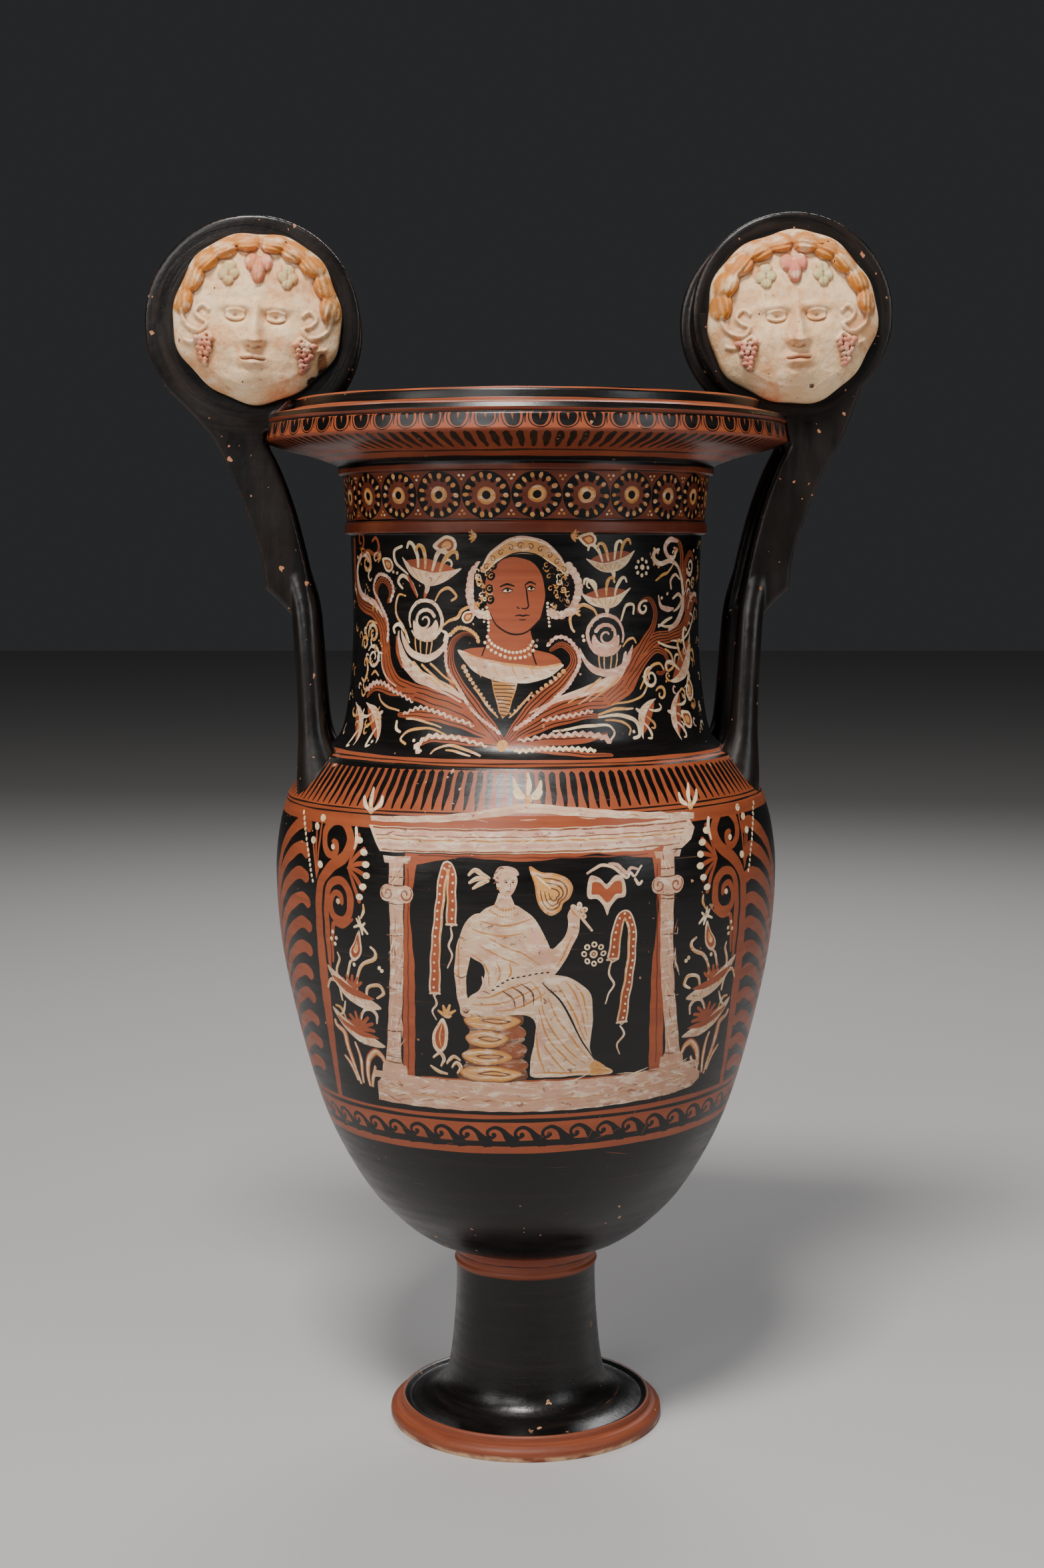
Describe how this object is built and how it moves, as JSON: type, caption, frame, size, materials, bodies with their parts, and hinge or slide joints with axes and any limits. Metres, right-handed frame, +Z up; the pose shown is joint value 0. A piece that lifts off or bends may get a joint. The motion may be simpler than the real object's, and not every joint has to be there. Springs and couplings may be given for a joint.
{
  "type": "greek volute krater with mask handles",
  "caption": "Tall stemmed terracotta mixing bowl with a flanged mouth and strap handles that end in drums carrying moulded masks.",
  "frame": {"origin": "on the ground under the vessel's axis, at the centre of the foot's resting ring", "axes": "+Z up along the vessel's axis, +X towards the right handle, front (main painted side) towards -Y"},
  "size_m": [0.4303, 0.3058, 0.718],
  "materials": {
    "figured_clay": "semi-gloss black slip over orange-red clay, with matt white, yellow and purple-red paint",
    "black_gloss": "semi-gloss black slip, brushed, with small chips",
    "mask_slip": "matt cream slip with ochre, pink and green washes"
  },
  "bodies": {
    "root": {"foot": "black_gloss", "body": "figured_clay", "neck": "figured_clay", "handle_right": "black_gloss", "handle_left": "black_gloss", "mask_front_left": "mask_slip", "mask_front_right": "mask_slip", "mask_back_left": "mask_slip", "mask_back_right": "mask_slip"}
  },
  "joints": []
}
